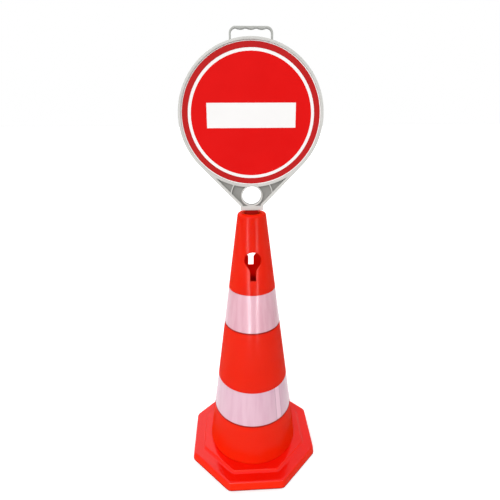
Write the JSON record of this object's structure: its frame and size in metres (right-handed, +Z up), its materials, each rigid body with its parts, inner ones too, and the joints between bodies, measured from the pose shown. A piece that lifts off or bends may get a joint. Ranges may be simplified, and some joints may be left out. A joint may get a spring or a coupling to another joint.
{
  "type": "cone sign",
  "caption": "Hollow traffic cone on an octagonal weighted base, with reflective bands and keyholes; a round framed sign with a carry handle swivels in its mouth and lifts out.",
  "frame": {"origin": "on the ground, on the cone's axis", "axes": "+Z up along the cone's axis, sign front facing -Y, +X to the right of someone who reads it"},
  "size_m": [0.3688, 0.367, 1.213],
  "materials": {
    "cone_plastic": "glossy moulded orange-red plastic",
    "base_plastic": "glossy moulded orange-red plastic",
    "ballast_rubber": "matt recycled rubber",
    "foot_rubber": "matt rubber",
    "fastener_steel": "zinc-plated steel",
    "band_sheeting": "pale retroreflective sheeting",
    "plug_plastic": "matt moulded red plastic",
    "grip_rubber": "matt rubber",
    "frame_plastic": "light grey moulded plastic",
    "board_plastic": "white plastic board",
    "white_sheeting": "white retroreflective sheeting",
    "border_film": "deep red film",
    "field_film": "bright red film"
  },
  "bodies": {
    "cone": {"cone_shell": "cone_plastic", "base_skirt": "base_plastic", "ballast_ring": "ballast_rubber", "ballast_screws": "fastener_steel", "screw_washers": "fastener_steel", "rubber_feet": "foot_rubber", "upper_band": "band_sheeting", "lower_band": "band_sheeting", "mouth_socket": "plug_plastic"},
    "turntable": {"swivel_bush": "plug_plastic", "grip_ring": "grip_rubber"},
    "sign": {"sign_frame": "frame_plastic", "carry_handle": "frame_plastic", "front_board": "board_plastic", "front_white_sheet": "white_sheeting", "front_border_film": "border_film", "front_field_film": "field_film", "rear_board": "board_plastic", "rear_white_sheet": "white_sheeting", "rear_border_film": "border_film", "rear_field_film": "field_film"}
  },
  "joints": [
    {"name": "sign_swivel", "type": "hinge", "parent": "cone", "child": "turntable", "pos_m": [0, 0, 0.6995], "axis": [0, 0, 1], "continuous": true},
    {"name": "sign_lift", "type": "slide", "parent": "turntable", "child": "sign", "axis": [0, 0, 1], "range_m": [0, 0.17]}
  ]
}
